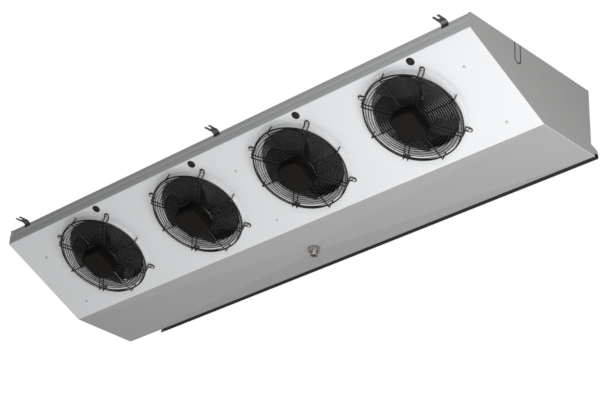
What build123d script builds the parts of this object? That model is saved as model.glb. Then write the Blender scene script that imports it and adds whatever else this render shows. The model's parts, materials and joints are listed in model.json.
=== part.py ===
from build123d import *
import math
import os

# Walk-in unit cooler: a slim casing that hangs under a cold-room ceiling, with four fans on a
# sloping front panel, a finned coil at the back and a dished drain pan underneath.
# Every piece is drawn in the casing's own frame: X along the length, Y from the front band
# back to the coil, Z up from the top of the casing. The last step moves all pieces together,
# so that the origin is the centre of the six hanger slots, on the ceiling.

# Casing
length = 2000.0
casing_depth = 549.0
band_height = 51.5
panel_tilt = 26.54
panel_slant = 364.0
sheet = 1.2
end_sheet = 1.5
seam = 0.4
top_clear = 0.3

# Front band of the top cover: set back at the top, then a bevel out to the front
band_set_back = 4.0
bevel_top = 12.0
bevel_bottom = 21.0
top_flange = 25.0
band_gap = 3.0
roof_end_gap = 24.0
band_return = 12.0

# End panels
front_return_width = 8.0
back_return_width = 15.0
toe_rise = 34.0
toe_shoulder_rise = 24.0
toe_depth = 28.0
sill_upstand = 8.0
knockout_centre = 212.0
knockout_radius = 12.5
knockout_leg = 54.0
knockout_slit = 2.0
knockout_bridge = 3.0

# Drain pan: a shallow pyramid that falls from all four sides to the drain
pan_overhang = 16.0
pan_wall = 20.0
pan_fall = 10.0
drain_seat = 44.0

# Drain
nipple_radius = 13.2
nipple_end_radius = 12.9
nipple_bore = 9.0
nipple_flange = 3.0
nipple_below = 27.0
nipple_above = 6.0
nipple_hole_clearance = 0.3
nut_across_flats = 33.0
nut_height = 12.0
gasket_height = 1.5
gasket_width = 4.5

# Rear sill and the dark drip edge under it
sill_left_inset = 139.0
sill_nose = 35.0
sill_lip = 13.0
drip_edge_height = 12.2
drip_edge_inset = 25.0

# Coil
coil_depth = 98.0
coil_height = 196.0
coil_back_gap = 6.0
coil_top_gap = 8.0
right_bend_room = 44.0
fin_pitch = 60.0
fin_thickness = 3.0
fin_web = 8.0
coil_plate = 2.0
coil_plate_margin = 4.0
coil_flange = 15.0
tube_rows = 3
tubes_per_row = 8
tube_pitch = 24.0
row_pitch = 30.0
tube_size = 9.5
tube_stub = 8.0

# Headers and pipe stubs
header_radius = 17.5
suction_radius = 14.0
header_end = 10.0
suction_x_from_end = 68.0
stub_reach = 36.0
liquid_radius = 6.35
liquid_x_from_end = 34.0
suction_stub_depth = 60.0
liquid_stub_depth = 130.0
pipe_hole_clearance = 1.0
pipe_neck = 0.6
distributor_radius = 11.0
distributor_height = 34.0
feed_size = 5.0

# Fan positions
fan_count = 4
fan_end_room = 328.9
baffle_inset = 95.0
baffle_clear = 0.5
baffle_flange = 20.0
baffle_flange_margin = 12.0
baffle_front = 18.0

# Bell-mouth that is pressed out of the fan panel around each throat
throat_radius = 132.0
bead_width = 19.0
mouth_seat = 2.0
mouth_rise = 12.5
throat_depth = 8.0

# Wire guard
guard_front = 35.0
guard_wire = 2.6
guard_rim_wire = 4.0
guard_rim_height = 20.0
guard_single_reach = 3.0
guard_double_reach = 1.7
guard_ring_pitch = 44.0
guard_ring_count = 2
guard_ring_inset = 5.0
guard_ring_sides = 16
guard_rim_sides = 16
leg_spacing = 13.0
leg_root_single = 2.0
leg_root_double = 6.0
eyelet_reach = 15.0
plate_inner = 28.0
plate_outer = 56.0
plate_thickness = 3.0

# Fan motor
motor_width = 88.0
motor_height = 100.0
motor_corner = 22.0
motor_front = 74.0
motor_edge = 5.0
motor_corner_steps = 3
boss_radius = 26.5
boss_back = 22.0

# Impeller
blade_count = 5
blade_tip_clearance = 4.0
hub_radius = 40.0
hub_front = 20.0
hub_back = 24.0
hub_wall = 4.0
hub_edge = 6.0
blade_angle = 28.0
blade_chord = 96.0
blade_camber = 9.0
blade_steps = 2
blade_thickness = 2.4
blade_root_width = 34.0
blade_tip_width = 92.0
blade_sweep = 26.0
blade_tip_corner = 14.0
shaft_radius = 4.0
shaft_clearance = 0.05
shaft_front = 44.0

# Cable grommets and screws
grommet_angle = 56.83
grommet_gap = 31.8
grommet_margin = 5.0
grommet_radius = 13.0
grommet_rise = 4.0
grommet_groove = 2.5
screw_shank = 2.0
screw_head_radius = 4.2
screw_head_height = 2.4
washer_radius = 7.4
washer_height = 1.0
screw_depth = 8.0
panel_screw_upper = 102.0
panel_screw_foot = 52.0

# Hangers
hanger_width = 25.0
hanger_sheet = 2.0
hanger_inset = 89.0
hanger_foot = 12.0
hanger_foot_gap = 2.0
ceiling_gap = 4.0
hanger_bend = 12.0
hanger_reach = 45.0
slot_width = 9.0
slot_depth = 18.0
rivet_radius = 2.4
rivet_head_radius = 4.2
rivet_head_height = 1.6

# Terminal box for the fan cables
terminal_width = 70.0
terminal_depth = 90.0
terminal_height = 55.0
terminal_lid = 3.0
terminal_drop = 30.0
terminal_gap = 12.0
terminal_edge = 4.0

# Flats on what is round but small
round_sides = 16
washer_sides = 8
hex_sides = 6

# Sizes that follow from the ones above
half = length / 2
pan_back = casing_depth + pan_overhang
tilt = math.radians(panel_tilt)
slope_y = math.cos(tilt)
slope_z = math.sin(tilt)
crease_y = panel_slant * slope_y
crease_z = -(band_height + panel_slant * slope_z)
inner_half = half - end_sheet
coil_left = -half + sill_left_inset
coil_right = half - right_bend_room
coil_back = casing_depth - coil_back_gap
coil_front = coil_back - coil_depth
coil_top = -sheet - coil_top_gap
coil_bottom = coil_top - coil_height
pan_front = crease_y + sheet * slope_z + seam
pan_middle = (pan_front + pan_back) / 2
seat_z = crease_z - pan_fall
toe_top = crease_z + toe_rise
toe_shoulder = crease_z + toe_shoulder_rise
mouth_radius = throat_radius + bead_width
guard_ring_outer = mouth_radius - guard_ring_inset
guard_single_corner = mouth_radius + guard_single_reach
guard_double_corner = mouth_radius + guard_double_reach
eyelet_radius = mouth_radius + eyelet_reach
grommet_x = (mouth_radius + grommet_gap) * math.cos(math.radians(grommet_angle))
grommet_up = (mouth_radius + grommet_gap) * math.sin(math.radians(grommet_angle))
impeller_radius = throat_radius - blade_tip_clearance
fan_slant = grommet_up + grommet_radius + grommet_margin
panel_screw_lower = panel_slant - panel_screw_foot
fan_pitch = (length - 2 * fan_end_room) / (fan_count - 1)
fan_places = [(i - (fan_count - 1) / 2) * fan_pitch for i in range(fan_count)]
baffle_places = {"left": -half + baffle_inset, "centre": 0.0, "right": half - baffle_inset}
outward = (0, -slope_z, -slope_y)

# The origin of the finished part, seen from the casing's frame
slot_row_middle = (band_set_back + casing_depth) / 2
to_ceiling = Location((0, -slot_row_middle, -ceiling_gap))


def offset_line(points, distance):
    """The open line through the points, moved sideways by a distance, with mitred corners."""
    moved = []
    for i, here in enumerate(points):
        normals = []
        for start, end in zip(points[max(i - 1, 0):i + 1], points[max(i, 1):i + 2]):
            run = math.dist(start, end)
            normals.append((-(end[1] - start[1]) / run, (end[0] - start[0]) / run))
        first, last = normals[0], normals[-1]
        share = distance / (1 + first[0] * last[0] + first[1] * last[1])
        if len(normals) == 1:
            share = distance / 2
        moved.append((here[0] + (first[0] + last[0]) * share, here[1] + (first[1] + last[1]) * share))
    return moved


def folded_section(points, thickness):
    """A strip of sheet metal seen from its end: the line, closed by its own offset."""
    return Polygon(*points, *reversed(offset_line(points, thickness)), align=None)


def along_x(section, start, end):
    """A section drawn as (Y, Z) and carried from one X to another."""
    return extrude(Plane.YZ.offset(start) * section, amount=end - start, dir=(1, 0, 0))


def block(x, y, z):
    """A box between three pairs of limits."""
    size = (x[1] - x[0], y[1] - y[0], z[1] - z[0])
    return Pos(x[0], y[0], z[0]) * Box(*size, align=(Align.MIN, Align.MIN, Align.MIN))


def bar(start, end, size):
    """A straight square bar between two points."""
    axis = Vector(*end) - Vector(*start)
    place = Plane(origin=start, z_dir=axis.normalized())
    return place.location * Box(size, size, axis.length, align=(Align.CENTER, Align.CENTER, Align.MIN))


def on_panel(x, slant):
    """A place on the fan panel: X to the right, Y up the slope, Z straight out of the panel."""
    origin = (x, slant * slope_y, -band_height - slant * slope_z)
    return Plane(origin=origin, x_dir=(1, 0, 0), z_dir=outward).location


def from_profile(points, thickness):
    """A round shell: the folded strip, drawn as (radius, height), turned about the fan axis."""
    return revolve(Plane.XZ * folded_section(points, thickness), axis=Axis.Z)


def flat_sided(radius, sides, low, high):
    """An upright prism between two heights, for what is round but small."""
    return extrude(Plane.XY.offset(low) * RegularPolygon(radius, sides), amount=high - low, dir=(0, 0, 1))


def save(name, *solids):
    """Write one node, moved from the casing's frame to the ceiling's."""
    export_step(to_ceiling * Compound(children=[s for piece in solids for s in piece.solids()]),
                os.path.join("parts", name + ".step"))


# Casing sheets
def make_top_cover():
    front_line = [
        (casing_depth, -top_flange),
        (casing_depth, 0),
        (band_set_back, 0),
        (band_set_back, -bevel_top),
        (0, -bevel_bottom),
        (0, -top_flange),
    ]
    cover = along_x(folded_section(front_line, sheet), -inner_half, inner_half)
    roof_middle = casing_depth - 2 * top_flange
    for side in (-1, 1):
        edge = sorted((side * inner_half * 2, side * (half - roof_end_gap)))
        cover -= block(edge, (top_flange, top_flange + roof_middle), (-sheet * 2, sheet))
    for x, y, _ in hanger_places():
        cover -= rivet_holes(x, y)
    return cover


def bell_mouth_line():
    """The bead and the throat as (radius, height), from the flat panel into the throat."""
    return [
        (mouth_radius + mouth_seat, 0),
        (mouth_radius, 0),
        (mouth_radius - bead_width / 4, mouth_rise),
        (throat_radius, 0),
        (throat_radius, -throat_depth),
    ]


def make_fan_panel():
    band_top = -top_flange - band_gap
    line = [
        (band_return, band_top),
        (0, band_top),
        (0, -band_height),
        (crease_y, crease_z),
    ]
    panel = along_x(folded_section(line, sheet), -inner_half, inner_half)
    mouth = from_profile(bell_mouth_line(), sheet)
    for x in fan_places:
        place = on_panel(x, fan_slant)
        panel -= place * Cylinder(mouth_radius + mouth_seat, 4 * sheet)
        panel += place * mouth
        hole = Pos(grommet_x, grommet_up) * Cylinder(grommet_radius - grommet_groove, 4 * sheet)
        panel -= place * hole
        for spot in eyelet_places():
            panel -= place * spot * flat_sided(screw_shank, hex_sides, -2 * sheet, 2 * sheet)
    for x, slant in panel_screw_places():
        panel -= on_panel(x, slant) * flat_sided(screw_shank, hex_sides, -2 * sheet, 2 * sheet)
    return panel


def knockout_slit_section():
    """The U of the knock-out as a closed outline, drawn as (Y, Z)."""
    outer = knockout_radius + knockout_slit / 2
    inner = knockout_radius - knockout_slit / 2
    centre = (knockout_centre, -knockout_leg)
    top = -knockout_bridge

    def u_shape(radius):
        legs = Pos(centre[0], (top + centre[1]) / 2) * Rectangle(2 * radius, top - centre[1])
        return legs + Pos(*centre) * Circle(radius)

    return u_shape(outer) - u_shape(inner)


def make_end_panel(side, with_toe):
    outline = [
        (band_set_back - end_sheet, 0),
        (band_set_back - end_sheet, -bevel_top),
        (0, -bevel_bottom),
        (0, -band_height),
        (crease_y, crease_z),
        (casing_depth, crease_z),
        (casing_depth, 0),
    ]
    if with_toe:
        nose = casing_depth + toe_depth
        outline[5:6] = [
            (pan_back, crease_z),
            (pan_back, crease_z + sill_lip),
            (casing_depth + sill_nose, crease_z + sill_lip),
            (nose, toe_shoulder),
            (casing_depth, toe_top),
        ]
    faces = sorted((side * half, side * inner_half))
    panel = along_x(Polygon(*outline, align=None), *faces)
    front_faces = sorted((side * inner_half, side * (half - front_return_width)))
    panel += block(front_faces, (band_set_back - end_sheet, band_set_back), (-bevel_top, 0))
    back_faces = sorted((side * inner_half, side * (half - back_return_width)))
    back_top = -top_flange - seam
    back_bottom = toe_top + (sill_upstand + seam if with_toe else 0)
    panel += block(back_faces, (casing_depth - end_sheet, casing_depth), (back_bottom, back_top))
    return panel - along_x(knockout_slit_section(), faces[0] - 1, faces[1] + 1)


def pyramid(outer_x, outer_y, z_shift, seat):
    """The dished part of the pan, from its rim down to the flat square around the drain.

    It is what two prisms share: one falls to the front and back, the other to the ends."""
    def fall(middle, width):
        corners = [(middle - width / 2, crease_z + z_shift), (middle + width / 2, crease_z + z_shift),
                   (middle + seat / 2, seat_z + z_shift), (middle - seat / 2, seat_z + z_shift)]
        return Polygon(*corners, align=None)

    front_to_back = along_x(fall(pan_middle, outer_y), -outer_x / 2, outer_x / 2)
    end_to_end = extrude(Plane.XZ * fall(0, outer_x), amount=pan_back, dir=(0, 1, 0))
    return front_to_back & end_to_end


def make_drain_pan():
    wide = 2 * inner_half
    deep = pan_back - pan_front
    walls = Pos(0, pan_middle, crease_z) * Box(wide, deep, pan_wall, align=(Align.CENTER, Align.CENTER, Align.MIN))
    outside = walls + pyramid(wide, deep, 0, drain_seat)
    inside = Pos(0, pan_middle, crease_z + sheet) * Box(
        wide - 2 * sheet, deep - 2 * sheet, pan_wall, align=(Align.CENTER, Align.CENTER, Align.MIN))
    inside += pyramid(wide - 2 * sheet, deep - 2 * sheet, sheet, drain_seat - 2 * sheet)
    hole = Pos(0, pan_middle, seat_z) * Cylinder(nipple_radius + nipple_hole_clearance, 6 * sheet)
    return outside - inside - hole


def sill_line():
    """The sill's outside: an upstand at the coil's back, then over the nose and down to its lip."""
    return [
        (casing_depth, toe_top + sill_upstand),
        (casing_depth, toe_top),
        (casing_depth + toe_depth, toe_shoulder),
        (casing_depth + sill_nose, crease_z + sill_lip),
        (casing_depth + sill_nose, crease_z),
    ]


def make_rear_sill():
    return along_x(folded_section(sill_line(), -sheet), coil_left, inner_half)


def make_drip_edge():
    back = casing_depth + sill_nose - sheet
    section = Polygon(
        (pan_back, crease_z),
        (back, crease_z),
        (back, crease_z + drip_edge_height),
        (pan_back, crease_z + drip_edge_height),
        align=None,
    )
    return along_x(section, coil_left + drip_edge_inset, inner_half)


def make_rear_cover():
    """Closes the back of the pipe compartment at the left, with two holes for the pipes."""
    left = -half + back_return_width + seam
    cover = block((left, coil_left - seam), (casing_depth - end_sheet, casing_depth),
                  (toe_top, -top_flange - seam))
    for x, z, radius in pipe_places():
        hole = flat_sided(radius + pipe_hole_clearance, round_sides, -3 * end_sheet, 3 * end_sheet)
        cover -= Pos(x, casing_depth, z) * Rot(90, 0, 0) * hole
    return cover


def make_baffle(screw_x):
    """A partition between fan panel, roof and coil, with a flange that the panel is screwed to."""
    x = screw_x - baffle_flange / 2
    top = -sheet - top_clear
    floor = crease_z + pan_wall + baffle_clear
    inside = sheet / math.cos(tilt) + baffle_clear
    back = coil_front - coil_plate_margin - baffle_clear
    line = [
        (baffle_front, top),
        (back, top),
        (back, floor),
        ((inside - band_height - floor) / math.tan(tilt), floor),
        (baffle_front, inside - band_height - baffle_front * math.tan(tilt)),
    ]
    baffle = along_x(Polygon(*line, align=None), x, x + sheet)
    middle = (panel_screw_upper + panel_screw_lower) / 2
    flange_length = panel_screw_lower - panel_screw_upper + 2 * baffle_flange_margin
    flange = Pos(0, 0, -sheet - baffle_clear / 2 - sheet / 2) * Box(baffle_flange, flange_length, sheet)
    for slant in (panel_screw_upper, panel_screw_lower):
        flange -= Pos(0, middle - slant) * flat_sided(screw_shank, hex_sides, -4 * sheet, 4 * sheet)
    return baffle + on_panel(screw_x, middle) * flange


# Drain
def make_drain_nipple():
    """The threaded outlet: a flange inside the pan, and a free end below the nut for the hose or pipe."""
    upright = (Align.CENTER, Align.CENTER, Align.MIN)
    top = seat_z + sheet + nipple_above
    nut_end = seat_z - gasket_height - nut_height
    bottom = seat_z - nipple_below
    nipple = Pos(0, pan_middle, nut_end) * Cylinder(nipple_radius, top - nut_end, align=upright)
    nipple += Pos(0, pan_middle, bottom) * Cylinder(nipple_end_radius, nut_end - bottom, align=upright)
    nipple += Pos(0, pan_middle, seat_z + sheet) * flat_sided(nipple_radius + gasket_width, hex_sides, 0, nipple_flange)
    return nipple - Pos(0, pan_middle, bottom) * Cylinder(nipple_bore, 2 * (top - bottom))


def make_drain_nut():
    nut = Plane((0, pan_middle, seat_z - gasket_height - nut_height)) * RegularPolygon(
        nut_across_flats / 2, 6, major_radius=False)
    body = extrude(nut, amount=nut_height, dir=(0, 0, 1))
    bore = Pos(0, pan_middle, seat_z) * Cylinder(nipple_radius, 6 * nut_height)
    return body - bore


def make_drain_gasket():
    outside = flat_sided(nipple_radius + gasket_width, round_sides, -gasket_height, 0)
    return Pos(0, pan_middle, seat_z) * (outside - Cylinder(nipple_radius, 3 * gasket_height))


# Coil
def make_coil_fins():
    """The fin pack: vertical plates across the air, joined by the tube core in their middle."""
    count = int((coil_right - coil_left - fin_thickness) / fin_pitch)
    pitch = (coil_right - coil_left - fin_thickness) / count
    web = (coil_depth - fin_web) / 2
    front, back = [], []
    for i in range(count + 1):
        near = coil_left + i * pitch
        far = near + fin_thickness
        for line, tip, root in ((front, coil_front, coil_front + web), (back, coil_back, coil_back - web)):
            if i > 0:
                line.append((near, root))
            line.extend([(near, tip), (far, tip)])
            if i < count:
                line.append((far, root))
    comb = Polygon(*front, *reversed(back), align=None)
    return extrude(Plane.XY.offset(coil_bottom) * comb, amount=coil_height, dir=(0, 0, 1))


def make_coil_plate(side):
    """One coil end plate, hung from the roof by a flange that points away from the fins."""
    face = coil_left if side < 0 else coil_right
    faces = sorted((face, face + side * coil_plate))
    front = coil_front - coil_plate_margin
    back = coil_back + coil_plate_margin
    plate = block(faces, (front, back), (crease_z + sheet + top_clear + 1.0, -sheet))
    flange_x = sorted((face, face + side * coil_flange))
    plate += block(flange_x, (front, back), (-sheet - coil_plate, -sheet))
    return plate


def tube_height(row):
    middle = (coil_top + coil_bottom) / 2
    return middle + ((tubes_per_row - 1) / 2 - row) * tube_pitch


def make_bends(side, first):
    """The return bends at one end: flat-sided U tubes that join tubes one above the other."""
    face = coil_left - coil_plate if side < 0 else coil_right + coil_plate
    bends = []
    outer = tube_pitch / 2 + tube_size / 2
    inner = tube_pitch / 2 - tube_size / 2
    half_turn = [math.pi * k / 4 for k in range(5)]

    def arc(radius):
        return [(tube_stub + radius * math.sin(a), radius * math.cos(a)) for a in half_turn]

    outline = [(0, outer), *arc(outer), (0, -outer), (0, -inner), *reversed(arc(inner)), (0, inner)]
    for layer in range(tube_rows):
        y = (coil_front + coil_back) / 2 + (layer - (tube_rows - 1) / 2) * row_pitch
        for row in range(first, tubes_per_row - 1, 2):
            z = (tube_height(row) + tube_height(row + 1)) / 2
            section = Polygon(*[(face + side * u, z + v) for u, v in outline], align=None)
            bends.append(extrude(Plane.XZ.offset(-y - tube_size / 2) * section, amount=tube_size, dir=(0, -1, 0)))
    return bends


def pipe_places():
    """The two pipes that leave at the back: X, Z and radius."""
    return [
        (-half + suction_x_from_end, -suction_stub_depth, suction_radius),
        (-half + liquid_x_from_end, -liquid_stub_depth, liquid_radius),
    ]


def feed_heights():
    return [tube_height(0), tube_height(tubes_per_row - 1)]


def make_pipe_stub(x, y, z, radius):
    """A pipe that runs back through the cover, a little slimmer inside than at its free end."""
    upright = (Align.CENTER, Align.CENTER, Align.MIN)
    pipe = Pos(x, y, z) * Rot(-90, 0, 0) * flat_sided(radius - pipe_neck, round_sides, 0, casing_depth - y)
    return pipe + Pos(x, casing_depth, z) * Rot(-90, 0, 0) * Cylinder(radius, stub_reach, align=upright)


def make_suction_header():
    """The upright header, its branches from the coil and the stub that leaves at the back."""
    x, stub_z, radius = pipe_places()[0]
    y = (coil_front + coil_back) / 2 + row_pitch
    top, bottom = tube_height(0) + header_end, tube_height(tubes_per_row - 1) - header_end
    header = Pos(x, y) * flat_sided(header_radius, round_sides, bottom, top)
    face = coil_left - coil_plate
    for z in feed_heights():
        header += block((x, face), (y - feed_size / 2, y + feed_size / 2), (z - feed_size / 2, z + feed_size / 2))
    return header + make_pipe_stub(x, y, stub_z, radius)


def make_distributor():
    """The liquid pipe, the distributor body on it and the feed tubes into the coil."""
    x, stub_z, radius = pipe_places()[1]
    y = (coil_front + coil_back) / 2 - row_pitch
    pipe = make_pipe_stub(x, y, stub_z, radius)
    reach = distributor_height / 2
    body = Pos(x, y, stub_z) * flat_sided(distributor_radius, round_sides, -reach, reach)
    face = coil_left - coil_plate
    feeds = []
    for z in feed_heights():
        feeds.append(bar((x, y, stub_z), (x, y, z), feed_size))
        feeds.append(block((x - feed_size / 2, face), (y - feed_size / 2, y + feed_size / 2),
                           (z - feed_size / 2, z + feed_size / 2)))
    for piece in feeds:
        body += piece
    return body + pipe


# Fans, each drawn about its own axis with Z straight out of the fan panel
def eyelet_places():
    return [Rot(0, 0, 45 + 90 * k) * Pos(eyelet_radius, 0) for k in range(4)]


def ring(radius, height, wire, sides):
    """One guard ring, as a polygon of straight runs with a square wire, standing on a height."""
    band = RegularPolygon(radius + wire / 2, sides) - RegularPolygon(radius - wire / 2, sides)
    return extrude(Plane.XY.offset(height) * band, amount=wire, dir=(0, 0, 1))


def guard_leg(inner, corner, y):
    """One wire that runs out in front of the rings, bends at its corner and stands on the panel."""
    wire = guard_wire
    low = guard_front - wire
    out = block((inner, corner + wire / 2), (y - wire / 2, y + wire / 2), (low, guard_front))
    return out + block((corner - wire / 2, corner + wire / 2), (y - wire / 2, y + wire / 2), (0, low))


def make_guard():
    """The basket guard: rings welded onto four single wires, four double legs and the motor's plate."""
    face = plate_thickness / 2
    guard = flat_sided(plate_outer, round_sides, guard_front - face, guard_front + face)
    guard -= flat_sided(plate_inner, round_sides, 0, 2 * guard_front)
    for k in range(4):
        guard += Rot(0, 0, 90 * k) * guard_leg(plate_outer - leg_root_single, guard_single_corner, 0)
        guard += Rot(0, 0, 45 + 90 * k) * make_double_leg()
    for k in range(guard_ring_count):
        radius = guard_ring_outer - k * guard_ring_pitch
        guard += ring(radius, guard_front - 2 * guard_wire, guard_wire, guard_ring_sides)
    return guard + ring(mouth_radius, guard_rim_height, guard_rim_wire, guard_rim_sides)


def make_double_leg():
    """Two wires side by side, joined on the panel by a U that the screw clamps."""
    wire = guard_wire
    side = leg_spacing / 2
    outline = [(guard_double_corner, -side), (eyelet_radius, -side)]
    for turn in (math.radians(-45), 0, math.radians(45)):
        outline.append((eyelet_radius + side * math.cos(turn), side * math.sin(turn)))
    outline += [(eyelet_radius, side), (guard_double_corner, side)]
    section = Polygon(*offset_line(outline, wire / 2), *reversed(offset_line(outline, -wire / 2)), align=None)
    leg = extrude(section, amount=wire, dir=(0, 0, 1))
    for y in (-side, side):
        leg += guard_leg(plate_outer - leg_root_double, guard_double_corner, y)
    return leg


def soft_rectangle(width, height, corner, steps):
    """A rectangle whose corners follow an arc in a few straight runs."""
    points = []
    for quarter, (sx, sy) in enumerate(((1, 1), (-1, 1), (-1, -1), (1, -1))):
        for k in range(steps + 1):
            a = math.pi / 2 * (quarter + k / steps)
            x = sx * (width / 2 - corner) + corner * math.cos(a)
            points.append((x, sy * (height / 2 - corner) + corner * math.sin(a)))
    return Polygon(*points, align=None)


def make_motor():
    """The boxy motor in front of the guard, with a boss that reaches back through its plate."""
    back = guard_front + plate_thickness / 2
    outline = soft_rectangle(motor_width, motor_height, motor_corner, motor_corner_steps)
    body = extrude(Plane.XY.offset(back) * outline, amount=motor_front - back)
    body = chamfer(body.faces().sort_by(Axis.Z)[-1].edges(), motor_edge)
    boss = flat_sided(boss_radius, round_sides, boss_back, back)
    bore = Pos(0, 0, boss_back) * Cylinder(
        shaft_radius + shaft_clearance, shaft_front - boss_back + 1, align=(Align.CENTER, Align.CENTER, Align.MIN))
    return body + boss - bore


def make_blade():
    """One blade: a cambered strip set at its angle, cut to a swept outline in plan."""
    camber = []
    for i in range(blade_steps + 1):
        share = 2 * i / blade_steps - 1
        camber.append((share * blade_chord / 2, blade_camber * (1 - share * share)))
    strip = folded_section(camber, blade_thickness)
    root = hub_radius - hub_wall / 2
    blank = extrude(Plane.YZ * (Rot(0, 0, blade_angle) * strip), amount=2 * impeller_radius, dir=(1, 0, 0))
    tip_back = -blade_tip_width / 2 - blade_sweep / 2
    tip_front = blade_tip_width / 2 - blade_sweep / 2
    middle = (root + impeller_radius) / 2
    plan = Polygon(
        (root, -blade_root_width / 2),
        (middle, (tip_back - blade_root_width / 2) / 2 - blade_sweep / 4),
        (impeller_radius - blade_tip_corner, tip_back),
        (impeller_radius + blade_tip_corner, tip_back + blade_tip_corner),
        (impeller_radius + blade_tip_corner, tip_front),
        (middle, (tip_front + blade_root_width / 2) / 2),
        (root, blade_root_width / 2),
        align=None,
    )
    cutter = extrude(Plane.XY.offset(-blade_chord) * plan, amount=2 * blade_chord, dir=(0, 0, 1))
    return blank & cutter & Cylinder(impeller_radius, 2 * blade_chord)


def make_impeller():
    """Hub cup and blades. The hub has a bore that is tight on the motor shaft."""
    cup = flat_sided(hub_radius, round_sides, -hub_back, hub_front)
    cup = chamfer(cup.edges().group_by(Axis.Z)[0], hub_edge)
    cup -= flat_sided(hub_radius - hub_wall, round_sides, 2 * hub_wall - hub_back, 2 * hub_front)
    core = flat_sided(hub_radius - hub_wall / 2, round_sides, -blade_chord, blade_chord)
    blade = make_blade() - core
    for k in range(blade_count):
        cup += Rot(0, 0, 360 / blade_count * k) * blade
    return cup - Cylinder(shaft_radius, 2 * blade_chord)


def make_shaft():
    """The motor's shaft, from the back of the hub to the bearing inside the motor."""
    return Pos(0, 0, -hub_back) * Cylinder(
        shaft_radius, shaft_front + hub_back, align=(Align.CENTER, Align.CENTER, Align.MIN))


def make_grommet():
    """A closed rubber grommet that grips the edge of its hole in the panel."""
    neck_radius = grommet_radius - grommet_groove
    grommet = flat_sided(neck_radius, round_sides, -sheet, grommet_rise)
    grommet += flat_sided(grommet_radius, round_sides, 0, grommet_rise - grommet_groove)
    grommet += flat_sided(grommet_radius, round_sides, -sheet - grommet_groove, -sheet)
    return Pos(grommet_x, grommet_up) * grommet


# Screws and rivets, drawn with the head standing on Z = 0 and the shank below it
def make_screw(washer):
    stack = washer_height if washer else 0
    screw = flat_sided(screw_shank, hex_sides, -screw_depth, stack)
    screw += flat_sided(screw_head_radius, hex_sides, stack, stack + screw_head_height)
    if washer:
        screw += flat_sided(washer_radius, washer_sides, 0, washer_height)
    return screw


def panel_screw_places():
    return [(x, slant) for x in baffle_places.values() for slant in (panel_screw_upper, panel_screw_lower)]


# Hangers
def hanger_places():
    """X, Y of the band that carries the hanger and the way it points, front and back."""
    across = (-half + hanger_inset, 0.0, half - hanger_inset)
    front = [(x, band_set_back, -1) for x in across]
    return front + [(x, casing_depth, 1) for x in across]


def rivet_spots(x):
    z = -(hanger_foot + hanger_foot_gap) / 2
    return [(x - hanger_width / 4, z), (x + hanger_width / 4, z)]


def rivet_holes(x, y):
    """Six-sided holes, as the rivet shanks have it, through foot and band."""
    reach = 2 * hanger_sheet
    hole = flat_sided(rivet_radius, hex_sides, -reach, reach)
    holes = [Plane(origin=(px, y, pz), z_dir=(0, -1, 0)).location * hole for px, pz in rivet_spots(x)]
    return holes[0] + holes[1]


def make_hanger(x, y, way):
    """A folded strip: foot on the band, a slope up and out, and a level fork with an open slot."""
    line = [
        (hanger_sheet, -hanger_foot),
        (hanger_sheet, -hanger_foot_gap),
        (hanger_bend, ceiling_gap - hanger_sheet),
        (hanger_reach, ceiling_gap - hanger_sheet),
    ]
    section = folded_section([(y + way * u, v) for u, v in line], way * hanger_sheet)
    hanger = along_x(section, x - hanger_width / 2, x + hanger_width / 2)
    root = y + way * (hanger_reach - slot_depth + slot_width / 2)
    ends = sorted((root, y + way * (hanger_reach + slot_depth)))
    slot = block((x - slot_width / 2, x + slot_width / 2), ends, (-hanger_foot, hanger_foot))
    slot += Pos(x, root, 0) * Cylinder(slot_width / 2, 2 * hanger_foot)
    return hanger - slot - rivet_holes(x, y)


def make_rivets():
    """Rivets through each hanger foot into its band."""
    rivets = []
    grip = hanger_sheet + sheet + rivet_head_height
    for x, y, way in hanger_places():
        for px, pz in rivet_spots(x):
            rivet = flat_sided(rivet_head_radius, washer_sides, 0, rivet_head_height)
            rivet += flat_sided(rivet_radius, hex_sides, -grip, 0)
            place = Plane(origin=(px, y + way * hanger_sheet, pz), z_dir=(0, way, 0)).location
            rivets.append(place * rivet)
    return rivets


def make_terminal_box():
    """The box for the fan cables, on the inside of the right end panel."""
    y = coil_front - coil_plate_margin - terminal_gap - terminal_depth
    z = (-terminal_drop - terminal_height, -terminal_drop)
    face = inner_half - terminal_width
    box = block((face, inner_half), (y, y + terminal_depth), z)
    box = chamfer(box.edges().filter_by(Axis.X), terminal_edge)
    rim = terminal_lid
    lid = block((face - rim, face), (y + rim, y + terminal_depth - rim), (z[0] + rim, z[1] - rim))
    return box + lid


os.makedirs("parts", exist_ok=True)

save("top_cover", make_top_cover())
save("fan_panel", make_fan_panel())
save("end_panel_left", make_end_panel(-1, False))
save("end_panel_right", make_end_panel(1, True))
save("drain_pan", make_drain_pan())
save("rear_sill", make_rear_sill())
save("drip_edge", make_drip_edge())
save("rear_cover", make_rear_cover())
for place, x in baffle_places.items():
    save("baffle_" + place, make_baffle(x))

save("drain_nipple", make_drain_nipple())
save("drain_nut", make_drain_nut())
save("drain_gasket", make_drain_gasket())

save("coil_fins", make_coil_fins())
save("coil_plate_left", make_coil_plate(-1))
save("coil_plate_right", make_coil_plate(1))
save("return_bends_left", *make_bends(-1, 1))
save("return_bends_right", *make_bends(1, 0))
save("suction_header", make_suction_header())
save("distributor", make_distributor())

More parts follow.
